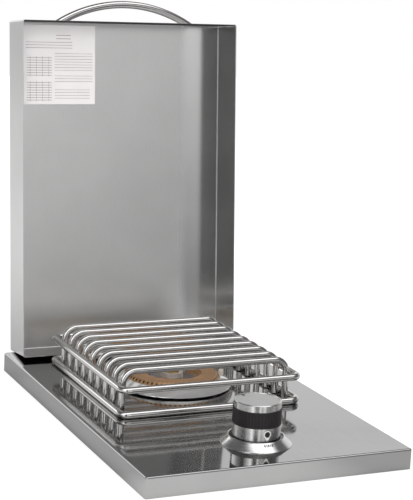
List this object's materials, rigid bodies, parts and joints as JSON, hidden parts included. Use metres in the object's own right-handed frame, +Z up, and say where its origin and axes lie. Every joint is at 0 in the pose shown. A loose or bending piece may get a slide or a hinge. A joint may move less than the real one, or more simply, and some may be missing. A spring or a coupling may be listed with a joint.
{
  "type": "built in side burner",
  "caption": "Drop-in gas side burner with a brushed steel panel, rod grate over a brass flame ring, one push-and-turn knob and a lift-up pan lid with a bow handle.",
  "frame": {"origin": "middle of the counter cut-out, at the height of the counter that the panel's rim rests on", "axes": "+X to the user's right, +Y away from the user towards the lid's hinge, +Z up"},
  "size_m": [0.3174, 0.5341, 0.5787],
  "materials": {
    "brushed_stainless": "brushed",
    "polished_stainless": "polished",
    "bright_stainless": "bright rolled",
    "steel": "plated",
    "burner_brass": "machined, lightly aged",
    "bright_brass": "machined",
    "fitting_brass": "machined",
    "cast_aluminium": "cast",
    "tube_aluminium": "drawn",
    "ceramic": "glazed",
    "black_plastic": "moulded",
    "black_enamel": "filled",
    "black_rubber": "ribbed",
    "label_film": "blank, matt"
  },
  "bodies": {
    "panel": {"top_panel": "brushed_stainless", "firebox": "brushed_stainless", "burner_bowl": "cast_aluminium", "drip_disc": "bright_stainless", "burner_base": "cast_aluminium", "burner_hub": "steel", "hub_nut": "bright_brass", "flame_ring": "burner_brass", "burner_screws": "steel", "collar_screws": "steel", "igniter_ceramic": "ceramic", "igniter_tip": "steel", "igniter_clip": "brushed_stainless", "mixing_tube": "brushed_stainless", "valve_body": "fitting_brass", "valve_bonnet": "fitting_brass", "orifice_spud": "fitting_brass", "igniter_module": "black_plastic", "valve_screws": "steel", "gas_pipe": "tube_aluminium", "union_nut": "fitting_brass", "inlet_fitting": "fitting_brass", "inlet_locknut": "fitting_brass", "knob_bezel": "brushed_stainless", "hinge_lug_left": "brushed_stainless", "hinge_lug_right": "brushed_stainless"},
    "lid": {"lid_pan": "brushed_stainless", "lid_handle": "polished_stainless", "lid_label": "label_film", "lid_bracket_left": "brushed_stainless", "lid_bracket_right": "brushed_stainless", "hinge_pins": "steel", "hinge_nuts": "steel"},
    "grate": {"grate_lower_ring": "polished_stainless", "grate_upper_ring": "polished_stainless", "grate_bar_1": "polished_stainless", "grate_bar_2": "polished_stainless", "grate_bar_3": "polished_stainless", "grate_bar_4": "polished_stainless", "grate_bar_5": "polished_stainless", "grate_bar_6": "polished_stainless", "grate_bar_7": "polished_stainless", "grate_bar_8": "polished_stainless", "grate_bar_9": "polished_stainless"},
    "plug": {"valve_plug": "fitting_brass", "valve_spring": "steel"},
    "knob": {"valve_stem": "steel", "knob_core": "black_plastic", "knob_skirt": "brushed_stainless", "knob_pointer": "black_enamel", "knob_grip": "black_rubber", "knob_cap": "brushed_stainless"},
    "shutter": {"air_shutter": "brushed_stainless", "shutter_screw": "steel"}
  },
  "joints": [
    {"name": "lid_hinge", "type": "hinge", "parent": "panel", "child": "lid", "pos_m": [0, 0.2016, 0.032], "axis": [1, 0, 0], "range_deg": [0, 95.9]},
    {"name": "grate_lift", "type": "slide", "parent": "panel", "child": "grate", "axis": [0, 0, 1], "range_m": [0, 0.06]},
    {"name": "knob_turn", "type": "hinge", "parent": "panel", "child": "plug", "pos_m": [0, -0.1717, 0], "axis": [0, 0, 1], "range_deg": [0, 210]},
    {"name": "knob_push", "type": "slide", "parent": "plug", "child": "knob", "axis": [0, 0, -1], "range_m": [0, 0.004], "stiffness_N_per_m": 500, "springref_m": -0.008, "deforming": ["valve_spring"]},
    {"name": "shutter_turn", "type": "hinge", "parent": "panel", "child": "shutter", "pos_m": [0, 0, -0.016], "axis": [0, 1, 0], "range_deg": [0, 60]}
  ]
}
